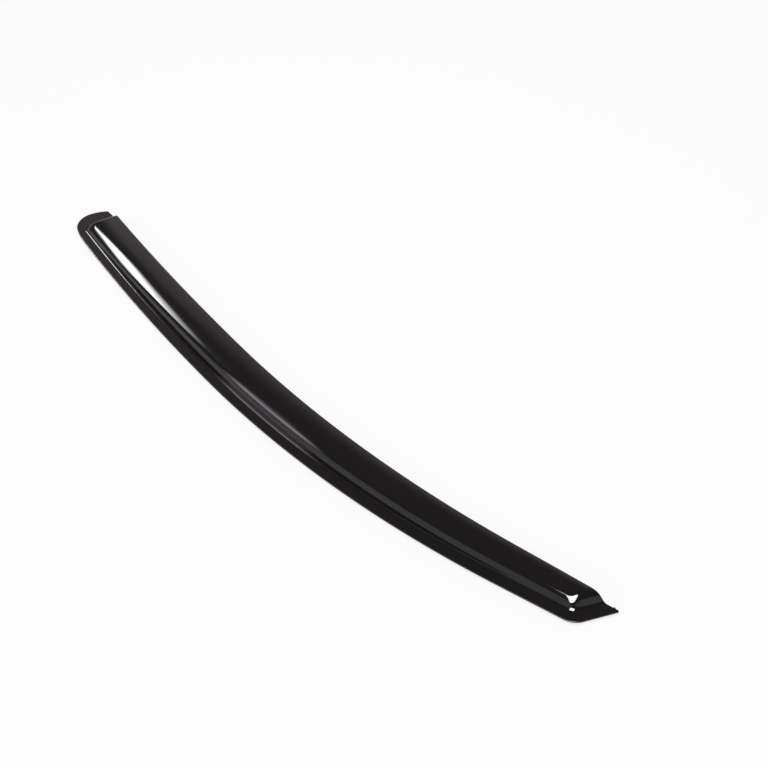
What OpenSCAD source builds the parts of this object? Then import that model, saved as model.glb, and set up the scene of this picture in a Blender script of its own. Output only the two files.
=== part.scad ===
// Side window rain deflector for a car's front door.
// A hood of smoked acrylic sheet, moulded as one shell with a flat flange
// round three sides. The fourth side, the lower edge in use, stays open.
// A strip of foam tape under the flange bonds it to the door frame, and a
// thin red liner covers the tape's glue until the deflector is fitted.
//
// The shell is drawn on a straight strip first: s runs along the strip, w
// across it from the long edge, and z up. bend() then curves the strip.

/* [Long edge] */
// Radius of the flatter bow, beside the rear end
flat_bow_r = 3300; // [2600:50:4200]
// Length of the flatter bow
flat_bow_length = 327; // [260:1:400]
// Radius of the rounder bow, in front of the flatter one
round_bow_r = 1486; // [1200:10:1800]
// Length of the rounder bow
round_bow_length = 462; // [380:1:540]
// Length of the straight stretch up to the tip's corner
straight_length = 81; // [60:1:110]

/* [Rear end] */
// Radius that eases the long edge into the rear corner
ease_r = 142; // [110:1:180]
// Angle that the easing turns through
ease_turn = 12; // [8:1:14]
// Radius of the rear corner
rear_corner_r = 27; // [24:0.5:31]
// Angle that the rear corner turns through
rear_corner_turn = 85; // [80:1:90]
// Radius of the rear end's bowed edge
rear_edge_r = 58; // [50:1:75]
// Angle that the rear end's edge turns through
rear_edge_turn = 24; // [20:1:27]
// Radius of the rounded corner where the rear flange ends
rear_nose_r = 4; // [2.5:0.5:5]

/* [Front tip] */
// Radius of the tip's corner
tip_corner_r = 27; // [20:0.5:32]
// Angle between the long edge and the tip's slanted edge
tip_turn = 47; // [40:1:55]
// Length of the tip's slanted edge
tip_edge_length = 40; // [36:0.5:46]
// Radius of the point at the tip
tip_nose_r = 1.2; // [0.8:0.1:2]

/* [Flange and walls, seen from above] */
// Width of the flat flange along the long edge
flange_w = 11.5; // [10:0.5:13]
// Run of the long wall, from its foot to the face
wall_run = 10.5; // [9:0.5:12]
// Width of the flange across the rear end
rear_flange_w = 22; // [20:0.5:24]
// Run of the rear wall
rear_wall_run = 14; // [12:0.5:15]
// Width of the flange along the tip's slanted edge
tip_flange_w = 12; // [11:0.5:14]
// Run of the tip's wall
tip_wall_run = 16; // [13:0.5:18]
// Radius of the corners at the walls' foot
foot_corner_r = 10; // [8:0.5:12]
// Radius of the corners at the face
face_corner_r = 10; // [8:0.5:12]

/* [Open edge] */
// Width from the long edge to the open edge at the rear
rear_hood_w = 61; // [56:0.5:64]
// The same width in the middle
mid_hood_w = 56.5; // [52:0.5:60]
// The same width at the tip
tip_hood_w = 40; // [38:0.5:41]
// Height of the open edge over the bonding plane at the rear
rear_height = 12.5; // [11:0.5:14]
// The same height in the middle
mid_height = 24.5; // [21:0.5:28]
// The same height at the tip
tip_height = 18; // [15:0.5:20]
// How far the face falls from its crest to the long wall
face_fall = 4; // [2.5:0.5:5]
// Share of the way from the long wall to the open edge at which the crest lies
crest_share = 0.6; // [0.5:0.05:1]

/* [Sheet and tape] */
// Thickness of the acrylic sheet
sheet_t = 2.6; // [2:0.1:3]
// Thickness of the foam tape
foam_t = 1; // [0.8:0.1:1.6]
// Thickness of the release liner
liner_t = 0.2; // [0.1:0.05:0.3]
// Width of the tape
tape_w = 6; // [5:0.5:8]
// Bare flange between the shell's edge and the tape
tape_margin = 1.5; // [1:0.1:2.5]

/* [Hidden] */

// Steps along each stretch of a rail, which runs from the rear end's open
// side, round the long edge, to the tip's open side
nose_steps = 2;
side_steps = 4;
corner_steps = 8;
ease_steps = 2;
long_steps = 60;
// Steps up the wall from its foot to the face
wall_steps = 10;

// How much of the wall's run the curve takes at its foot and at its top
foot_share = 0.3;
top_share = 0.6;

face_in = flange_w + wall_run;
flange_z = liner_t + foam_t + sheet_t;
rear_turn = ease_turn + rear_corner_turn;
bows_length = flat_bow_length + round_bow_length;
tip_start = bows_length + straight_length;

// Unit vectors along a heading, and to the left of it, which is inwards
function along(h) = [cos(h), sin(h)];
function inward(h) = [-sin(h), cos(h)];
function mix(a, b, t) = a + (b - a) * t;

// Curve through three values, at t = -1, 0 and 1
function through_three(a, b, c, t) = b + (c - a) / 2 * t + ((a + c) / 2 - b) * t * t;

// The edge's arcs in the strip, as centres that their radii are measured from
ease_c = [0, ease_r];
rear_corner_c = ease_c - (ease_r - rear_corner_r) * inward(-ease_turn);
rear_edge_c = rear_corner_c + (rear_edge_r - rear_corner_r) * inward(-rear_turn);
rear_nose_h = -rear_turn - rear_edge_turn;
rear_nose_c = rear_edge_c - (rear_edge_r - rear_nose_r) * inward(rear_nose_h);
tip_corner_c = [tip_start, tip_corner_r];
tip_edge_start = tip_corner_c - tip_corner_r * inward(tip_turn);
tip_edge_end = tip_edge_start + tip_edge_length * along(tip_turn);
tip_nose_c = tip_edge_end + tip_nose_r * inward(tip_turn);

function arc(c, r, h1, h2, steps, from = 0) =
    [for (i = [from:steps]) c - r * inward(mix(h1, h2, i / steps))];
function line(a, b, steps, from = 0) =
    [for (i = [from:steps]) mix(a, b, i / steps)];

// The edge without its two noses, moved inwards by d
function edge(d) = concat(
    arc(rear_edge_c, rear_edge_r - d, rear_nose_h, -rear_turn, side_steps),
    arc(rear_corner_c, rear_corner_r - d, -rear_turn, -ease_turn, corner_steps, 1),
    arc(ease_c, ease_r - d, -ease_turn, 0, ease_steps, 1),
    line([0, d], [tip_start, d], long_steps, 1),
    arc(tip_corner_c, tip_corner_r - d, 0, tip_turn, corner_steps, 1),
    line(tip_edge_start + d * inward(tip_turn), tip_edge_end + d * inward(tip_turn),
        side_steps, 1));

edge_rail = concat(
    arc(rear_nose_c, rear_nose_r, -180, rear_nose_h, nose_steps),
    [for (i = [1:len(edge(0)) - 1]) edge(0)[i]],
    arc(tip_nose_c, tip_nose_r, tip_turn, 180, nose_steps, 1));

// Where the open edge runs, as a width over the strip
strip_from = edge_rail[0][0];
strip_to = edge_rail[len(edge_rail) - 1][0];
strip_mid = (strip_from + strip_to) / 2;
strip_half = (strip_to - strip_from) / 2;
function hood_w(s) =
    through_three(rear_hood_w, mid_hood_w, tip_hood_w, (s - strip_mid) / strip_half);
function hood_height(s) =
    through_three(rear_height, mid_height, tip_height, (s - strip_mid) / strip_half);

// Lines that the end walls follow, moved inwards by d from the end edges
function rear_line(d) = rear_corner_c - (rear_corner_r - d) * inward(-rear_turn);
function tip_line(d) = tip_edge_start + d * inward(tip_turn);
function on_line(p, h, w) = p + (w - p[1]) / sin(h) * along(h);

// Point at which an end line meets the open edge
function meets_hood(p, h, w, tries = 4) =
    let (q = on_line(p, h, w))
    tries == 0 ? q : meets_hood(p, h, hood_w(q[0]), tries - 1);

face_from = meets_hood(rear_line(rear_flange_w + rear_wall_run), -rear_turn, rear_hood_w);
face_to = meets_hood(tip_line(tip_flange_w + tip_wall_run), tip_turn, tip_hood_w);

// Point at which an end line meets the cut from the edge's nose to the face
function meets_cut(p, h, nose, corner) =
    let (cut = corner - nose, t = cross(nose - p, cut) / cross(along(h), cut))
    p + t * along(h);

foot_from = meets_cut(rear_line(rear_flange_w), -rear_turn, edge_rail[0], face_from);
foot_to = meets_cut(tip_line(tip_flange_w), tip_turn, edge_rail[len(edge_rail) - 1], face_to);

// A rail inside the edge: down the rear line, round a corner, along the
// strip at the width w, round the other corner and up the tip's line
function inner_rail(from, to, w, r) =
    let (
        rear_corner = on_line(from, -rear_turn, w),
        tip_corner = on_line(to, tip_turn, w),
        c1 = [rear_corner[0] + r * tan(rear_turn / 2), w + r],
        c2 = [tip_corner[0] - r * tan(tip_turn / 2), w + r])
    concat(
        line(from, c1 - r * inward(-rear_turn), nose_steps + side_steps),
        arc(c1, r, -rear_turn, 0, corner_steps, 1),
        line([c1[0], w], [c2[0], w], ease_steps + long_steps, 1),
        arc(c2, r, 0, tip_turn, corner_steps, 1),
        line(c2 - r * inward(tip_turn), to, side_steps + nose_steps, 1));

foot_rail = inner_rail(foot_from, foot_to, flange_w, foot_corner_r);
face_rail = inner_rail(face_from, face_to, face_in, face_corner_r);

// Height of the face's upper surface: it falls from its crest towards the
// long wall and the open edge, by less where the hood is lower
function square(v) = v * v;
function face_z(p) =
    let (
        height = hood_height(p[0]),
        across = (p[1] - face_in) / (hood_w(p[0]) - face_in),
        fall = face_fall * (height - flange_z) / (mid_height - flange_z))
    height + fall * (square(1 / crest_share - 1) - square(across / crest_share - 1));
probe = 0.5;
function face_slope(p, dir) = (face_z(p + probe * dir) - face_z(p)) / probe;

// One point of the shell as [upper point, direction to its underside]
function unit(v) = v / norm(v);
function plate_pair(p) = [[p[0], p[1], flange_z], [0, 0, -1]];
function face_pair(p) =
    let (a = face_slope(p, [-1, 0]), b = face_slope(p, [0, -1]))
    [[p[0], p[1], face_z(p)], unit([-a, -b, -1])];

// The wall is a smooth curve from the flange to the face, with a tight
// turn at its foot and a broad one at its top
function wall_pair(foot, top, t) =
    let (
        run = norm(top - foot),
        out = (top - foot) / run,
        top_z = face_z(top),
        slope = face_slope(top, out),
        handle = top_share * run,
        q0 = [0, flange_z],
        q1 = [foot_share * run, flange_z],
        q2 = [run - handle, top_z - handle * slope],
        q3 = [run, top_z],
        q = q0 * pow(1 - t, 3) + q1 * 3 * t * pow(1 - t, 2) + q2 * 3 * t * t * (1 - t)
            + q3 * pow(t, 3),
        g = unit((q1 - q0) * pow(1 - t, 2) + (q2 - q1) * 2 * t * (1 - t)
            + (q3 - q2) * t * t),
        p = foot + out * q[0])
    [[p[0], p[1], q[1]], [out[0] * g[1], out[1] * g[1], -g[0]]];

// Rows of the flange and the walls, from the edge to the face
last = len(edge_rail) - 1;
rows = wall_steps + 1;
ring = concat(
    [for (p = edge_rail) plate_pair(p)],
    [for (k = [0:wall_steps]) for (j = [0:last])
        wall_pair(foot_rail[j], face_rail[j], k / wall_steps)]);

// The face fills the last row. Its grid has m steps from the long wall to
// the open edge and n steps along it
m_steps = nose_steps + side_steps + corner_steps / 2;
n_steps = last - 2 * m_steps;
function low(n) = face_rail[m_steps + n];
function rear_side(m) = face_rail[m_steps - m];
function tip_side(m) = face_rail[m_steps + n_steps + m];
function share(n) = (low(n)[0] - low(0)[0]) / (low(n_steps)[0] - low(0)[0]);
function high(n) =
    let (s = mix(face_from[0], face_to[0], share(n)))
    [s, hood_w(s)];
function face_point(m, n) =
    let (u = share(n), v = m / m_steps)
    mix(low(n), high(n), v) + mix(rear_side(m), tip_side(m), u)
        - mix(mix(low(0), low(n_steps), u), mix(face_from, face_to, u), v);
face = [for (m = [1:m_steps]) for (n = [1:n_steps - 1])
    face_pair(m == m_steps ? high(n) : face_point(m, n))];

// The strip bent along the two bows
flat_turn = flat_bow_length / flat_bow_r * 180 / PI;
round_turn = round_bow_length / round_bow_r * 180 / PI;
start_h = -(flat_turn + round_turn) / 2;
function bow_end(p, h, r, turn) = p + r * (inward(h) - inward(h + turn));
function base(s) =
    let (
        joint = bow_end([0, 0], start_h, flat_bow_r, flat_turn),
        end = bow_end(joint, start_h + flat_turn, round_bow_r, round_turn))
    s < 0 ? s * along(start_h)
    : s < flat_bow_length ? bow_end([0, 0], start_h, flat_bow_r, flat_turn * s / flat_bow_length)
    : s < bows_length ? bow_end(joint, start_h + flat_turn, round_bow_r,
        round_turn * (s - flat_bow_length) / round_bow_length)
    : end + (s - bows_length) * along(-start_h);
function base_h(s) = start_h + flat_turn * min(1, max(0, s / flat_bow_length))
    + round_turn * min(1, max(0, (s - flat_bow_length) / round_bow_length));

// The origin is on the middle of the tape, halfway along the strip
origin = base(strip_mid) + (tape_margin + tape_w / 2) * inward(base_h(strip_mid));
function bend(p) =
    let (q = base(p[0]) + p[1] * inward(base_h(p[0])) - origin)
    len(p) > 2 ? [q[0], q[1], p[2]] : q;

pairs = concat(ring, face);
shell_points = concat(
    [for (pair = pairs) bend(pair[0])],
    [for (pair = pairs) bend(pair[0] + sheet_t * pair[1])]);

// Number of a point, from its row and its place on the ring or the face
function ring_at(k, j) = k * (last + 1) + j;
function face_at(m, n) =
    m == 0 ? ring_at(rows, m_steps + n)
    : n == 0 ? ring_at(rows, m_steps - m)
    : n == n_steps ? ring_at(rows, m_steps + n_steps + m)
    : len(ring) + (m - 1) * (n_steps - 1) + n - 1;
function quads(a, b, c, d) = [[a, b, c], [a, c, d]];
top_faces = concat(
    [for (k = [0:rows - 1]) for (j = [0:last - 1])
        for (f = quads(ring_at(k, j), ring_at(k + 1, j), ring_at(k + 1, j + 1), ring_at(k, j + 1))) f],
    [for (m = [0:m_steps - 1]) for (n = [0:n_steps - 1])
        for (f = quads(face_at(m, n), face_at(m + 1, n), face_at(m + 1, n + 1), face_at(m, n + 1))) f]);

// The sheet's rim: along the edge, then back along the open side
rim = concat(
    [for (j = [0:last]) ring_at(0, j)],
    [for (k = [1:rows]) ring_at(k, last)],
    [for (n = [1:n_steps - 1]) face_at(m_steps, n_steps - n)],
    [for (k = [0:rows - 1]) ring_at(rows - k, 0)]);
under = len(pairs);
rim_faces = [for (i = [0:len(rim) - 1])
    let (a = rim[i], b = rim[(i + 1) % len(rim)])
    for (f = quads(a, b, b + under, a + under)) f];
shell_faces = concat(
    top_faces,
    [for (f = top_faces) [f[2] + under, f[1] + under, f[0] + under]],
    rim_faces);

// Outline of the tape, which stops short of both noses
tape_outline = [for (p = concat(edge(tape_margin),
    let (inner = edge(tape_margin + tape_w)) [for (i = [1:len(inner)]) inner[len(inner) - i]]))
    bend(p)];

module tape_strip(from_z, thickness) {
    translate([0, 0, from_z])
        linear_extrude(height = thickness)
            polygon(tape_outline);
}

// Moulded hood and flange
module visor_shell() {
    color([0.13, 0.12, 0.13])
        polyhedron(points = shell_points, faces = shell_faces);
}

// Foam strip that stays on the flange
module foam_tape() {
    color([0.08, 0.08, 0.08])
        tape_strip(liner_t, foam_t);
}

// Red film over the tape's glue
module release_liner() {
    color([0.76, 0.17, 0.19])
        tape_strip(0, liner_t);
}

visor_shell();
foam_tape();
release_liner();
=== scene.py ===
from math import cos, pi, radians, sin, tan

import bpy
import numpy as np
from mathutils import Matrix


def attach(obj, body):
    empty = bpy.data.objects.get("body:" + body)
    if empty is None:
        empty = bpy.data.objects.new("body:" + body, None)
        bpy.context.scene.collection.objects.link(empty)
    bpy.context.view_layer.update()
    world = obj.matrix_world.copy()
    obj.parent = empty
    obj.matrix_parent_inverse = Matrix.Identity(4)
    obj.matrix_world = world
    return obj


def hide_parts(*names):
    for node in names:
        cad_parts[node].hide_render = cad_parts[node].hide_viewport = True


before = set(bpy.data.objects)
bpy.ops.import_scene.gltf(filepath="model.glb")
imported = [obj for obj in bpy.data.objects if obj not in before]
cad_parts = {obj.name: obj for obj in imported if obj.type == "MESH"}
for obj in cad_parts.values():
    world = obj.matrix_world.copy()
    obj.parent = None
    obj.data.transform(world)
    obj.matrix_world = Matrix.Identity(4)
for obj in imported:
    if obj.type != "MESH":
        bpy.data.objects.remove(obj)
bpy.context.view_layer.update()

# The view: the deflector lies on a table on its tape, with its bonded long edge
# towards the camera, which looks down on it from the side of the front tip.
camera_drop = radians(50)
camera_turn = radians(42.9214)
camera_distance = 1.3371
aim = (0.0609, 0.1543)
lens_mm = 49.03
sensor_mm = 36


def put_in_scene(name, data):
    thing = bpy.data.objects.new(name, data)
    bpy.context.scene.collection.objects.link(thing)
    return thing


camera_data = bpy.data.cameras.new("view")
camera_data.lens = lens_mm
camera_data.sensor_width = sensor_mm
camera_data.clip_start = 0.05
camera = put_in_scene("view", camera_data)
camera.location = (
    aim[0] + camera_distance * cos(camera_drop) * sin(camera_turn),
    aim[1] - camera_distance * cos(camera_drop) * cos(camera_turn),
    camera_distance * sin(camera_drop))
camera.rotation_euler = (pi / 2 - camera_drop, 0, camera_turn)
bpy.context.scene.camera = camera


# Moulded shell: one sheet of smoke-tinted acrylic, softened by heat, drawn over a form
# and trimmed. A wall rises from its flat flange to a broad shoulder, and the face is
# slightly crowned. It is set out on a straight strip, s along and w across, then bent.
mm = 0.001

flat_bow_r = 3300 * mm
flat_bow_length = 327 * mm
round_bow_r = 1486 * mm
round_bow_length = 462 * mm
straight_length = 81 * mm

ease_r = 142 * mm
ease_turn = radians(12)
rear_corner_r = 27 * mm
rear_corner_turn = radians(85)
rear_edge_r = 58 * mm
rear_edge_turn = radians(24)
rear_nose_r = 4 * mm

tip_corner_r = 27 * mm
tip_turn = radians(47)
tip_edge_length = 40 * mm
tip_nose_r = 1.2 * mm

flange_w = 11.5 * mm
wall_run = 10.5 * mm
rear_flange_w = 22 * mm
rear_wall_run = 14 * mm
tip_flange_w = 12 * mm
tip_wall_run = 16 * mm
foot_corner_r = 10 * mm
face_corner_r = 10 * mm

# Widths and heights at the rear, in the middle and at the tip
hood_widths = (61 * mm, 56.5 * mm, 40 * mm)
hood_heights = (12.5 * mm, 24.5 * mm, 18 * mm)
face_fall = 4 * mm
crest_share = 0.6
# Lengths of the handles of the wall's curve, as shares of its run
foot_share = 0.3
top_share = 0.6

sheet_t = 2.6 * mm
foam_t = 1 * mm
liner_t = 0.2 * mm
tape_w = 6 * mm
tape_margin = 1.5 * mm

nose_steps = 6
side_steps = 10
corner_steps = 24
ease_steps = 8
long_steps = 320
wall_steps = 48
# Shares of the flange's width at which its rows lie
flange_rows = (0, 0.12, 0.3, 0.5, 0.7, 0.88)
rim_r = 0.7 * mm
rim_steps = 4

rear_turn = ease_turn + rear_corner_turn
face_in = flange_w + wall_run
flange_z = liner_t + foam_t + sheet_t
tip_start = flat_bow_length + round_bow_length + straight_length


def along(heading):
    return np.array([cos(heading), sin(heading)])


def inward(heading):
    """The direction to the left of a heading, which points into the sheet."""
    return np.array([-sin(heading), cos(heading)])


def arc(centre, r, start, end, steps, first=0):
    """Points of an arc from one heading to another, without those before the first."""
    return [centre - r * inward(start + (end - start) * i / steps) for i in range(first, steps + 1)]


def line(start, end, steps, first=0):
    return [start + (end - start) * i / steps for i in range(first, steps + 1)]


ease_centre = np.array([0, ease_r])
rear_corner_centre = ease_centre - (ease_r - rear_corner_r) * inward(-ease_turn)
rear_edge_centre = rear_corner_centre + (rear_edge_r - rear_corner_r) * inward(-rear_turn)
rear_nose_heading = -rear_turn - rear_edge_turn
rear_nose_centre = rear_edge_centre - (rear_edge_r - rear_nose_r) * inward(rear_nose_heading)
tip_corner_centre = np.array([tip_start, tip_corner_r])
tip_edge_start = tip_corner_centre - tip_corner_r * inward(tip_turn)
tip_edge_end = tip_edge_start + tip_edge_length * along(tip_turn)
tip_nose_centre = tip_edge_end + tip_nose_r * inward(tip_turn)


def trimmed_edge(inset):
    """The trimmed edge without its noses, moved inwards."""
    return (
        arc(rear_edge_centre, rear_edge_r - inset, rear_nose_heading, -rear_turn, side_steps)
        + arc(rear_corner_centre, rear_corner_r - inset, -rear_turn, -ease_turn, corner_steps, 1)
        + arc(ease_centre, ease_r - inset, -ease_turn, 0, ease_steps, 1)
        + line(np.array([0, inset]), np.array([tip_start, inset]), long_steps, 1)
        + arc(tip_corner_centre, tip_corner_r - inset, 0, tip_turn, corner_steps, 1)
        + line(tip_edge_start + inset * inward(tip_turn), tip_edge_end + inset * inward(tip_turn),
               side_steps, 1))


edge_rail = np.array(
    arc(rear_nose_centre, rear_nose_r, -pi, rear_nose_heading, nose_steps)
    + trimmed_edge(0)[1:]
    + arc(tip_nose_centre, tip_nose_r, tip_turn, pi, nose_steps, 1))

strip_mid = (edge_rail[0][0] + edge_rail[-1][0]) / 2
strip_half = (edge_rail[-1][0] - edge_rail[0][0]) / 2


def through_three(values, s):
    """A curve along the strip through the three values at its rear, middle and tip."""
    rear, middle, tip = values
    t = (s - strip_mid) / strip_half
    return middle + (tip - rear) / 2 * t + ((rear + tip) / 2 - middle) * t * t


def hood_w(s):
    return through_three(hood_widths, s)


def on_line(p, heading, w):
    """The point of a line through p at the place w across the strip."""
    return p + (w - p[1]) / sin(heading) * along(heading)


def meets_hood(p, heading, w):
    """Where a line through p meets the open edge, from a first guess of the place across."""
    rounds = 5
    for _ in range(rounds):
        q = on_line(p, heading, w)
        w = hood_w(q[0])
    return q


def meets_cut(p, heading, nose, corner):
    """Where a line through p meets the cut from the nose to the face's corner."""
    cut = corner - nose
    back = nose - p
    ahead = along(heading)
    share = (back[0] * cut[1] - back[1] * cut[0]) / (ahead[0] * cut[1] - ahead[1] * cut[0])
    return p + share * ahead


def rear_line(inset):
    """The point, inside the end of the rear corner, where a line of the rear end starts."""
    return rear_corner_centre - (rear_corner_r - inset) * inward(-rear_turn)


def tip_line(inset):
    """The point where a line beside the tip's slanted edge starts."""
    return tip_edge_start + inset * inward(tip_turn)


def inner_rail(start, end, w, r):
    """A rail inside the edge, which turns round a corner of radius r at each end."""
    rear_corner = on_line(start, -rear_turn, w)
    tip_corner = on_line(end, tip_turn, w)
    c1 = np.array([rear_corner[0] + r * tan(rear_turn / 2), w + r])
    c2 = np.array([tip_corner[0] - r * tan(tip_turn / 2), w + r])
    return np.array(
        line(start, c1 - r * inward(-rear_turn), nose_steps + side_steps)
        + arc(c1, r, -rear_turn, 0, corner_steps, 1)
        + line(np.array([c1[0], w]), np.array([c2[0], w]), ease_steps + long_steps, 1)
        + arc(c2, r, 0, tip_turn, corner_steps, 1)
        + line(c2 - r * inward(tip_turn), end, side_steps + nose_steps, 1))


face_start = meets_hood(rear_line(rear_flange_w + rear_wall_run), -rear_turn, hood_widths[0])
face_end = meets_hood(tip_line(tip_flange_w + tip_wall_run), tip_turn, hood_widths[2])
foot_start = meets_cut(rear_line(rear_flange_w), -rear_turn, edge_rail[0], face_start)
foot_end = meets_cut(tip_line(tip_flange_w), tip_turn, edge_rail[-1], face_end)
foot_rail = inner_rail(foot_start, foot_end, flange_w, foot_corner_r)
face_rail = inner_rail(face_start, face_end, face_in, face_corner_r)


def face_z(p):
    """Height of the face, which falls from its crest to both of its long sides."""
    height = through_three(hood_heights, p[..., 0])
    across = (p[..., 1] - face_in) / (hood_w(p[..., 0]) - face_in)
    fall = face_fall * (height - flange_z) / (hood_heights[1] - flange_z)
    return height + fall * ((1 / crest_share - 1) ** 2 - (across / crest_share - 1) ** 2)


def face_slope(p, direction):
    probe = 0.5 * mm
    return (face_z(p + probe * direction) - face_z(p)) / probe


def face_rows(p):
    """Points of the face and the direction from each to the sheet's underside."""
    slopes = [-face_slope(p, np.array(back)) for back in ((-1, 0), (0, -1))]
    down = np.stack(slopes + [-np.ones_like(slopes[0])], -1)
    down /= np.linalg.norm(down, axis=-1)[..., None]
    return np.concatenate([p, face_z(p)[..., None]], -1), down


def flange_row(share):
    p = edge_rail + (foot_rail - edge_rail) * share
    down = np.tile([0, 0, -1.0], (len(p), 1))
    return np.concatenate([p, np.full((len(p), 1), flange_z)], 1), down


wall_length = np.linalg.norm(face_rail - foot_rail, axis=1)
wall_out = (face_rail - foot_rail) / wall_length[:, None]
wall_top_z = face_z(face_rail)
wall_top_slope = face_slope(face_rail, wall_out)


def wall_row(t):
    """A row of the wall: a smooth curve, tight at its foot and broad at its shoulder."""
    level = np.zeros_like(wall_length)
    top_reach = top_share * wall_length
    foot = np.stack([level, level + flange_z], 1)
    foot_handle = np.stack([foot_share * wall_length, level + flange_z], 1)
    top_handle = np.stack([wall_length - top_reach, wall_top_z - top_reach * wall_top_slope], 1)
    shoulder = np.stack([wall_length, wall_top_z], 1)
    curve = (foot * (1 - t) ** 3 + foot_handle * 3 * t * (1 - t) ** 2
             + top_handle * 3 * t * t * (1 - t) + shoulder * t ** 3)
    ahead = ((foot_handle - foot) * (1 - t) ** 2 + (top_handle - foot_handle) * 2 * t * (1 - t)
             + (shoulder - top_handle) * t * t)
    ahead /= np.linalg.norm(ahead, axis=1)[:, None]
    top = np.concatenate([foot_rail + wall_out * curve[:, :1], curve[:, 1:]], 1)
    return top, np.concatenate([wall_out * ahead[:, 1:], -ahead[:, :1]], 1)


ring = [flange_row(share) for share in flange_rows]
ring += [wall_row(k / wall_steps) for k in range(wall_steps + 1)]
ring_top = np.array([top for top, down in ring])
ring_down = np.array([down for top, down in ring])

# The face fills the last row of the ring. That row's points are shared out to three of
# its sides, and the fourth is the open edge. In its grid, u runs along and v across.
across_steps = nose_steps + side_steps + corner_steps // 2
along_steps = len(edge_rail) - 1 - 2 * across_steps
rear_side = slice(across_steps, None, -1)
long_side = slice(across_steps, across_steps + along_steps + 1)
tip_side = slice(across_steps + along_steps, None)

shoulder = face_rail[long_side]
share = (shoulder[:, 0] - shoulder[0, 0]) / (shoulder[-1, 0] - shoulder[0, 0])
open_s = face_start[0] + (face_end[0] - face_start[0]) * share
open_edge = np.stack([open_s, hood_w(open_s)], 1)
u = share[:, None]
face_grid = np.zeros((across_steps + 1, along_steps + 1, 2))
for i in range(across_steps + 1):
    v = i / across_steps
    corners = ((shoulder[0] * (1 - u) + shoulder[-1] * u) * (1 - v)
               + (face_start * (1 - u) + face_end * u) * v)
    sides = face_rail[rear_side][i] * (1 - u) + face_rail[tip_side][i] * u
    face_grid[i] = shoulder * (1 - v) + open_edge * v + sides - corners
face_grid[0] = shoulder
face_grid[-1] = open_edge
face_grid[:, 0] = face_rail[rear_side]
face_grid[:, -1] = face_rail[tip_side]
face_top, face_down = face_rows(face_grid)

# The strip bent along the two bows, with the origin on the middle of the tape
flat_turn = flat_bow_length / flat_bow_r
round_turn = round_bow_length / round_bow_r
start_heading = -(flat_turn + round_turn) / 2


def bow_end(p, heading, r, turn):
    """End of a bow that starts at p. Arrays of turns give arrays of points."""
    turn = np.asarray(turn)
    start = np.array([-sin(heading), cos(heading)])
    end = np.stack([-np.sin(heading + turn), np.cos(heading + turn)], -1)
    return p + r * (start - end)


bow_joint = bow_end(np.zeros(2), start_heading, flat_bow_r, flat_turn)


def base(s):
    """Points and headings of the long edge at the places s along the strip."""
    before = np.minimum(s, 0)
    on_flat_bow = np.clip(s, 0, flat_bow_length)
    on_round_bow = np.clip(s - flat_bow_length, 0, round_bow_length)
    on_straight = np.maximum(s - flat_bow_length - round_bow_length, 0)
    flat_end = bow_end(np.zeros(2), start_heading, flat_bow_r, on_flat_bow / flat_bow_r)
    round_end = bow_end(
        bow_joint, start_heading + flat_turn, round_bow_r, on_round_bow / round_bow_r)
    points = (before[..., None] * along(start_heading) + flat_end + round_end - bow_joint
              + on_straight[..., None] * along(-start_heading))
    return points, start_heading + on_flat_bow / flat_bow_r + on_round_bow / round_bow_r


mid_point, mid_heading = base(np.array([strip_mid]))
origin = mid_point[0] + (tape_margin + tape_w / 2) * inward(mid_heading[0])


def bend(p):
    """Points of the flat strip, as points of the bent deflector."""
    points, heading = base(p[..., 0])
    left = np.stack([-np.sin(heading), np.cos(heading)], -1)
    points = points + p[..., 1:2] * left - origin
    return np.concatenate([points, p[..., 2:]], -1)


class Mould:
    """Gathers the shell's vertices and faces. A vertex has its point and a number
    that says how near it is to the trimmed rim."""

    def __init__(self):
        self.points = []
        self.rim = []
        self.faces = []

    def grid(self, points, rim=0.0):
        flat = points.reshape(-1, 3)
        first = sum(len(p) for p in self.points)
        self.points.append(flat)
        self.rim.append(np.full(len(flat), rim))
        return np.arange(first, first + len(flat)).reshape(points.shape[:-1])

    def skin(self, rows, flip=False):
        quad = [rows[:-1, :-1], rows[1:, :-1], rows[1:, 1:], rows[:-1, 1:]]
        if flip:
            quad.reverse()
        self.faces.append(np.stack([corner.ravel() for corner in quad], 1))


upper_ring, upper_face = bend(ring_top), bend(face_top)
lower_ring = bend(ring_top + sheet_t * ring_down)
lower_face = bend(face_top + sheet_t * face_down)

mould = Mould()
skins = []
for ring_points, face_points in ((upper_ring, upper_face), (lower_ring, lower_face)):
    ring_ids = mould.grid(ring_points)
    face_ids = np.zeros(face_points.shape[:2], int)
    face_ids[0] = ring_ids[-1, long_side]
    face_ids[:, 0] = ring_ids[-1, rear_side]
    face_ids[:, -1] = ring_ids[-1, tip_side]
    face_ids[1:, 1:-1] = mould.grid(face_points[1:, 1:-1])
    mould.skin(ring_ids, flip=bool(skins))
    mould.skin(face_ids, flip=bool(skins))
    skins.append((ring_ids, face_ids))
points = np.concatenate(mould.points)


# The trimmed rim: along the edge, round the tip, and back along the open side.
# Its two corners are rounded, as a trimming cutter and a flame leave them.
def rim_loop(ring_ids, face_ids):
    return np.concatenate([
        ring_ids[0], ring_ids[1:, -1], face_ids[-1, -2:0:-1], ring_ids[:0:-1, 0]])


def rim_neighbours(ring_ids, face_ids):
    """The vertex just inside each vertex of the rim."""
    return np.concatenate([
        ring_ids[1], ring_ids[1:, -2], face_ids[-2, -2:0:-1], ring_ids[:0:-1, 1]])


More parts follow.
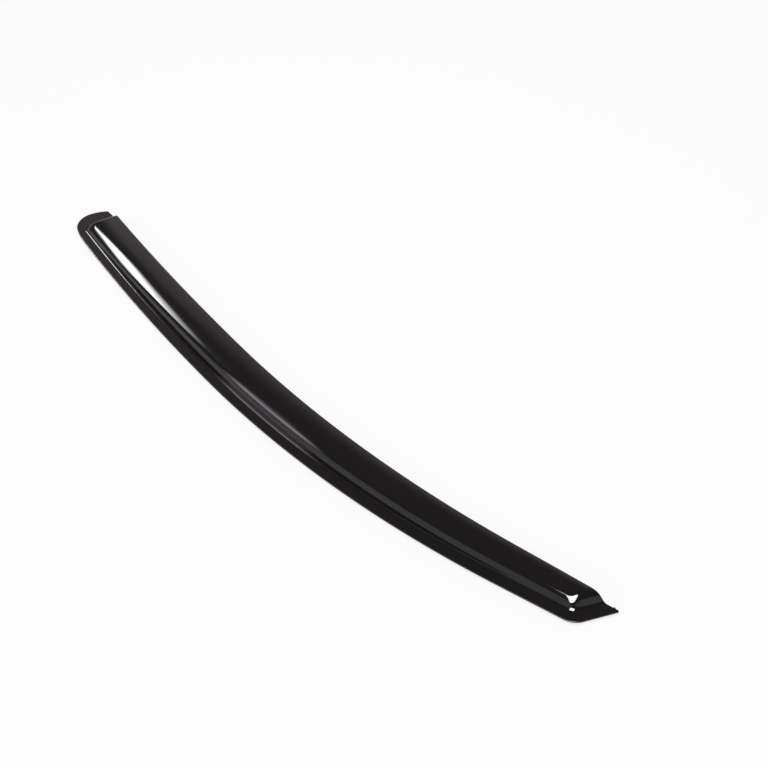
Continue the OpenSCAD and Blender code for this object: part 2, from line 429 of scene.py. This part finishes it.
upper_rim, lower_rim = (rim_loop(*skin) for skin in skins)
upper_inside, lower_inside = (rim_neighbours(*skin) for skin in skins)
top = points[upper_rim].copy()
bottom = points[lower_rim].copy()
through = bottom - top
through /= np.linalg.norm(through, axis=1)[:, None]
run = np.roll(top, -1, 0) - np.roll(top, 1, 0)
run /= np.linalg.norm(run, axis=1)[:, None]
outward = np.cross(through, run)
outward /= np.linalg.norm(outward, axis=1)[:, None]

# The radius keeps to half of the row beside the rim, and is eased from point to point
row_w = np.minimum(
    np.abs(((points[upper_inside] - top) * outward).sum(1)),
    np.abs(((points[lower_inside] - bottom) * outward).sum(1)))
radius = np.minimum(rim_r, 0.5 * row_w)[:, None]
easing_rounds = 12
for _ in range(easing_rounds):
    radius = np.minimum(radius, (np.roll(radius, 1, 0) + 2 * radius + np.roll(radius, -1, 0)) / 4)
points[upper_rim] = top - radius * outward
points[lower_rim] = bottom - radius * outward
mould.points = [points]


def rim_row(corner, inwards, i):
    """Row i of a rounded corner of the rim, counted from its skin."""
    a = pi / 2 * i / rim_steps
    row = corner - radius * (1 - sin(a)) * outward + radius * (1 - cos(a)) * inwards
    return mould.grid(row, rim=sin(a))


rim_rows = [upper_rim]
rim_rows += [rim_row(top, through, i) for i in range(1, rim_steps + 1)]
rim_rows += [rim_row(bottom, -through, i) for i in range(rim_steps, 0, -1)]
rim_rows.append(lower_rim)
rim_ids = np.array(rim_rows)
rim_ids = np.concatenate([rim_ids, rim_ids[:, :1]], 1)
mould.skin(rim_ids, flip=True)

shell_mesh = bpy.data.meshes.new("moulded_shell")
shell_mesh.from_pydata(np.concatenate(mould.points).tolist(), [], np.concatenate(mould.faces).tolist())
shell_mesh.validate()
rim_layer = shell_mesh.attributes.new("rim", "FLOAT", "POINT")
rim_layer.data.foreach_set("value", np.concatenate(mould.rim).astype(np.float32))
shell_mesh.shade_smooth()
shell = put_in_scene("moulded_shell", shell_mesh)


def add_math(nodes, links, operation, *inputs):
    """A maths node, whose inputs are numbers or other nodes' outputs."""
    node = nodes.new("ShaderNodeMath")
    node.operation = operation
    for socket, value in zip(node.inputs, inputs):
        if isinstance(value, (int, float)):
            socket.default_value = value
        else:
            links.new(value, socket)
    return node.outputs["Value"]


class Finish:
    """A material, and the nodes that make its colour, gloss and surface uneven."""

    def __init__(self, name):
        self.material = bpy.data.materials.new(name)
        self.material.use_nodes = True
        self.nodes = self.material.node_tree.nodes
        self.links = self.material.node_tree.links
        self.shader = self.nodes["Principled BSDF"]

    def pattern(self, kind, scale):
        """A pattern that stays with the piece as it moves."""
        place = self.nodes.new("ShaderNodeTexCoord")
        pattern = self.nodes.new(kind)
        pattern.inputs["Scale"].default_value = scale
        self.links.new(place.outputs["Object"], pattern.inputs["Vector"])
        return pattern

    def noise(self, scale, detail):
        noise = self.pattern("ShaderNodeTexNoise", scale)
        noise.inputs["Detail"].default_value = detail
        return noise.outputs["Fac"]

    def tint(self, source, dark, light):
        ramp = self.nodes.new("ShaderNodeValToRGB")
        ramp.color_ramp.elements[0].color = (*dark, 1)
        ramp.color_ramp.elements[1].color = (*light, 1)
        self.links.new(source, ramp.inputs["Fac"])
        return ramp.outputs["Color"]

    def gloss(self, source, least, most):
        """Roughness between two values."""
        roughness = self.nodes.new("ShaderNodeMapRange")
        roughness.inputs["To Min"].default_value = least
        roughness.inputs["To Max"].default_value = most
        self.links.new(source, roughness.inputs["Value"])
        return roughness.outputs["Result"]

    def bump(self, source, strength, height):
        bump = self.nodes.new("ShaderNodeBump")
        bump.inputs["Strength"].default_value = strength
        bump.inputs["Distance"].default_value = height
        self.links.new(source, bump.inputs["Height"])
        self.links.new(bump.outputs["Normal"], self.shader.inputs["Normal"])


# Polished smoke acrylic: near black, with a painted brown glow of light through the sheet at its trimmed
# rim, where it is also less polished, and with the faint waviness of a drawn sheet.
acrylic = Finish("smoked_acrylic")
acrylic.shader.inputs["Specular IOR Level"].default_value = 0.3
acrylic.shader.inputs["IOR"].default_value = 1.49
rim_nearness = acrylic.nodes.new("ShaderNodeAttribute")
rim_nearness.attribute_name = "rim"

smoke_tint = acrylic.tint(acrylic.noise(9, 3), (0.0095, 0.0088, 0.0090), (0.0125, 0.0112, 0.0115))
# Painted glow: brown mixed in towards the rim, for light that comes out through the sheet's trimmed edge
painted_rim_glow = acrylic.nodes.new("ShaderNodeMix")
painted_rim_glow.data_type = "RGBA"
painted_rim_glow.inputs[7].default_value = (0.045, 0.030, 0.020, 1)
acrylic.links.new(rim_nearness.outputs["Fac"], painted_rim_glow.inputs[0])
acrylic.links.new(smoke_tint, painted_rim_glow.inputs[6])
acrylic.links.new(painted_rim_glow.outputs[2], acrylic.shader.inputs["Base Color"])

rim_dullness = 0.3
sheet_gloss = acrylic.gloss(acrylic.noise(60, 4), 0.035, 0.06)
shell_gloss = add_math(
    acrylic.nodes, acrylic.links, "MULTIPLY_ADD", rim_nearness.outputs["Fac"], rim_dullness, sheet_gloss)
acrylic.links.new(shell_gloss, acrylic.shader.inputs["Roughness"])
acrylic.bump(acrylic.noise(14, 1), 0.35, 0.03 * mm)

shell_mesh.materials.append(acrylic.material)
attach(shell, "root")
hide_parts("visor_shell")


# Foam tape: a strip of black closed-cell acrylic foam, cut 6 mm wide and pressed
# along the flange, where it stays and carries the deflector.
def tape_strip(name, from_z, thickness):
    """A strip of the tape's width that follows the flange, with a margin outside it."""
    near_side = np.array(trimmed_edge(tape_margin))
    far_side = np.array(trimmed_edge(tape_margin + tape_w))
    outline = np.concatenate([near_side, far_side[::-1]])
    total = len(outline)
    flat = bend(np.concatenate([outline, np.zeros((total, 1))], 1))
    low_points = flat + np.array([0, 0, from_z])
    high_points = flat + np.array([0, 0, from_z + thickness])
    faces = []
    for i in range(len(near_side) - 1):
        a, b, c, d = i, i + 1, total - 2 - i, total - 1 - i
        faces.append((d, c, b, a))
        faces.append((a + total, b + total, c + total, d + total))
    for i in range(total):
        k = (i + 1) % total
        faces.append((i, k, k + total, i + total))
    mesh = bpy.data.meshes.new(name)
    mesh.from_pydata(np.concatenate([low_points, high_points]).tolist(), [], faces)
    mesh.validate()
    return put_in_scene(name, mesh)


foam_strip = tape_strip("foam_strip", liner_t, foam_t)
foam = Finish("acrylic_foam")
foam.shader.inputs["Roughness"].default_value = 0.8
cells = foam.pattern("ShaderNodeTexVoronoi", 4000).outputs["Distance"]
foam_tint = foam.tint(cells, (0.016, 0.016, 0.017), (0.032, 0.032, 0.033))
foam.links.new(foam_tint, foam.shader.inputs["Base Color"])
foam.bump(cells, 0.5, 0.1 * mm)
foam_strip.data.materials.append(foam.material)
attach(foam_strip, "root")
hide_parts("foam_tape")


# Release liner: a thin red film over the tape's glue, peeled off when the
# deflector is fitted.
liner_strip = tape_strip("liner_strip", 0, liner_t)
liner = Finish("liner_film")
film_noise = liner.noise(120, 3)
film_tint = liner.tint(film_noise, (0.50, 0.024, 0.028), (0.58, 0.034, 0.038))
liner.links.new(film_tint, liner.shader.inputs["Base Color"])
liner.links.new(liner.gloss(film_noise, 0.3, 0.42), liner.shader.inputs["Roughness"])
liner.bump(film_noise, 0.3, 0.1 * mm)
liner_strip.data.materials.append(liner.material)
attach(liner_strip, "root")
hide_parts("release_liner")


# Table and light: a plain white table under even light. A tall softbox beyond the rear
# end leaves the long white streaks, one beside the camera the spot at the tip, and the
# room round them is dim but for a pale wall behind and a narrow lit strip at the side.
table_half = 12
table_mesh = bpy.data.meshes.new("table")
table_mesh.from_pydata(
    [(-table_half, -table_half, 0), (table_half, -table_half, 0),
     (table_half, table_half, 0), (-table_half, table_half, 0)],
    [], [(0, 1, 2, 3)])
table = put_in_scene("table", table_mesh)
table_white = Finish("table_white")
table_white.shader.inputs["Base Color"].default_value = (0.95, 0.95, 0.95, 1)
table_white.shader.inputs["Roughness"].default_value = 0.9
table_white.shader.inputs["Specular IOR Level"].default_value = 0.0
table_mesh.materials.append(table_white.material)

# The table's white is evened out where it is seen, and keeps the shadow on it
nodes, links = table_white.nodes, table_white.links
white_share = 0.7
ray = nodes.new("ShaderNodeLightPath")
seen_or_mirrored = add_math(
    nodes, links, "MAXIMUM", ray.outputs["Is Camera Ray"], ray.outputs["Is Glossy Ray"])
seen_at_all = add_math(
    nodes, links, "MAXIMUM", seen_or_mirrored, ray.outputs["Is Transmission Ray"])
even_white = nodes.new("ShaderNodeEmission")
even_white.inputs["Strength"].default_value = 1.0
table_mix = nodes.new("ShaderNodeMixShader")
links.new(add_math(nodes, links, "MULTIPLY", seen_at_all, white_share), table_mix.inputs["Fac"])
links.new(table_white.shader.outputs["BSDF"], table_mix.inputs[1])
links.new(even_white.outputs["Emission"], table_mix.inputs[2])

# Seen from below, the table is clear, so that the tape can be looked at
from_below = nodes.new("ShaderNodeNewGeometry")
clear = nodes.new("ShaderNodeBsdfTransparent")
one_sided = nodes.new("ShaderNodeMixShader")
links.new(from_below.outputs["Backfacing"], one_sided.inputs["Fac"])
links.new(table_mix.outputs["Shader"], one_sided.inputs[1])
links.new(clear.outputs["BSDF"], one_sided.inputs[2])
links.new(one_sided.outputs["Shader"], nodes["Material Output"].inputs["Surface"])

room = bpy.data.worlds.new("studio")
room.use_nodes = True
room_nodes = room.node_tree.nodes
room_links = room.node_tree.links
direction = room_nodes.new("ShaderNodeTexCoord")
parts = room_nodes.new("ShaderNodeSeparateXYZ")
room_links.new(direction.outputs["Generated"], parts.inputs["Vector"])
gradient = room_nodes.new("ShaderNodeTexGradient")
gradient.gradient_type = "RADIAL"
room_links.new(direction.outputs["Generated"], gradient.inputs["Vector"])


def room_ramp(source, stops):
    """A grey ramp with stops as (position, value)."""
    ramp = room_nodes.new("ShaderNodeValToRGB")
    elements = ramp.color_ramp.elements
    while len(elements) < len(stops):
        elements.new(0.5)
    for element, (position, value) in zip(elements, stops):
        element.position = position
        element.color = (value, value, value, 1)
    room_links.new(source, ramp.inputs["Fac"])
    return ramp.outputs["Color"]


def room_math(operation, *inputs):
    return add_math(room_nodes, room_links, operation, *inputs)


def at_azimuths(stops):
    """Stops for the compass, given as (azimuth in degrees from +X towards +Y, value)."""
    return [(azimuth / 360 + 0.5, value) for azimuth, value in stops]


# The height is 0 at the table's level and 1 straight up. The compass runs from 0 to 1
# with +X at 0.5. The wall fades upwards, and the strip leans as it rises.
height = parts.outputs["Z"]
compass = gradient.outputs["Fac"]
wall_round = room_ramp(compass, at_azimuths(((18, 0), (43.2, 1), (153.4, 1), (160.9, 0))))
wall_up = room_ramp(height, ((0.45, 1), (0.515, 0.9), (0.67, 0.5), (0.77, 0.19), (0.86, 0)))
strip_lean = room_ramp(height, ((0, 0), (0.26, 0.004), (0.5, 0.014), (0.7, 0.045), (0.81, 0.086)))
strip_round = room_ramp(
    room_math("ADD", compass, strip_lean),
    at_azimuths(((-131.6, 0), (-128.3, 1), (-116.6, 1), (-113.4, 0))))
strip_up = room_ramp(height, ((0.25, 1), (0.5, 0.62), (0.7, 0.42), (0.81, 0.16), (0.86, 0)))
strip_level = 6.9
strip_light = room_math("MULTIPLY", room_math("MULTIPLY", strip_round, strip_up), strip_level)
tinted_light = room_math("ADD", room_math("MULTIPLY", wall_round, wall_up), strip_light)
tinted_room = room_nodes["Background"]
tinted_room.inputs["Color"].default_value = (1.0, 0.84, 0.98, 1)
room_links.new(tinted_light, tinted_room.inputs["Strength"])

# The rear softbox is a soft-edged patch of the room that is seen in reflections only.
# Its outline has azimuths in degrees, from its right end to its left, each with the
# heights of its foot and its top. The ramps round it start at box_from and span box_span.
box_outline = (
    (166.9, 0.56, 0.697), (169.9, 0.603, 0.714), (174.9, 0.608, 0.752), (179.9, 0.601, 0.776),
    (184.9, 0.572, 0.799), (190.9, 0.53, 0.796), (197.9, 0.478, 0.725), (204.9, 0.374, 0.625),
    (212.9, 0.12, 0.29))
box_ends = ((166.2, 0), (168.2, 1), (211, 1), (213.8, 0))
box_from = 158.4
box_span = 72
box_level = 38


def along_box(stops):
    """Stops for the ramps round the softbox, given as (azimuth in degrees, value)."""
    return [((azimuth - box_from) / box_span, value) for azimuth, value in stops]


azimuth_share = room_math("FRACT", room_math("ADD", compass, 0.5))
box_place = room_math(
    "DIVIDE", room_math("SUBTRACT", azimuth_share, box_from / 360), box_span / 360)
box_foot = room_ramp(box_place, along_box((azimuth, foot) for azimuth, foot, top in box_outline))
box_top = room_ramp(box_place, along_box((azimuth, top) for azimuth, foot, top in box_outline))
box_share = room_math(
    "DIVIDE", room_math("SUBTRACT", height, box_foot), room_math("SUBTRACT", box_top, box_foot))
box_fill = room_ramp(box_share, (
    (0, 0), (0.1, 0.2), (0.25, 1), (0.52, 1), (0.68, 0.36), (0.83, 0.01), (1, 0)))
box_round = room_ramp(box_place, along_box(box_ends))
box_up = room_ramp(height, (
    (0.14, 0), (0.26, 0.03), (0.34, 0.12), (0.42, 0.32), (0.5, 0.52), (0.57, 0.7), (0.64, 1)))
box_shape = room_math("MULTIPLY", room_math("MULTIPLY", box_fill, box_round), box_up)
box_light = room_math("MULTIPLY", box_shape, box_level)
room_ray = room_nodes.new("ShaderNodeLightPath")
mirrored_box = room_math("MULTIPLY", box_light, room_ray.outputs["Is Glossy Ray"])

# The rest of the room is dim, and brighter below the table's level
dim_level = 0.1
below_level = 0.6
below_light = room_math("MULTIPLY", room_math("LESS_THAN", height, 0), below_level)
white_light = room_math("ADD", mirrored_box, room_math("ADD", below_light, dim_level))
white_room = room_nodes.new("ShaderNodeBackground")
white_room.inputs["Color"].default_value = (1, 1, 1, 1)
room_links.new(white_light, white_room.inputs["Strength"])

whole_room = room_nodes.new("ShaderNodeAddShader")
room_links.new(tinted_room.outputs["Background"], whole_room.inputs[0])
room_links.new(white_room.outputs["Background"], whole_room.inputs[1])
room_links.new(whole_room.outputs["Shader"], room_nodes["World Output"].inputs["Surface"])
bpy.context.scene.world = room


def towards(azimuth, elevation):
    """Unit vector: azimuth turns from +X to +Y, elevation is above the table."""
    a, e = radians(azimuth), radians(elevation)
    return np.array([cos(a) * cos(e), sin(a) * cos(e), sin(e)])


def softbox(name, seen_from, distance, end_1, end_2, width, radiance):
    """A flat lamp whose two short sides lie in the directions end_1 and end_2."""
    p1 = np.array(seen_from) + distance * towards(*end_1)
    p2 = np.array(seen_from) + distance * towards(*end_2)
    length = np.linalg.norm(p2 - p1)
    centre = (p1 + p2) / 2
    x = (p2 - p1) / length
    z = centre - np.array(seen_from)
    z = z - z.dot(x) * x
    z /= np.linalg.norm(z)
    y = np.cross(z, x)
    data = bpy.data.lights.new(name, "AREA")
    data.shape = "RECTANGLE"
    data.size = float(length)
    data.size_y = width
    data.energy = radiance * pi * data.size * data.size_y
    lamp = put_in_scene(name, data)
    lamp.matrix_world = Matrix([
        [x[0], y[0], z[0], centre[0]], [x[1], y[1], z[1], centre[1]],
        [x[2], y[2], z[2], centre[2]], [0, 0, 0, 1]])
    lamp.visible_camera = False
    return lamp


tip_softbox = softbox(
    "tip_softbox", seen_from=(0.43, 0.06, 0.01), distance=2.5,
    end_1=(298.5, 48), end_2=(311, 7), width=1.7, radiance=43)
tip_softbox.visible_diffuse = False
overhead = softbox(
    "overhead", seen_from=(0, 0.02, 0.01), distance=3,
    end_1=(0, 60), end_2=(180, 60), width=3, radiance=2.3)
overhead.visible_glossy = False

bpy.context.scene.view_settings.view_transform = "Standard"
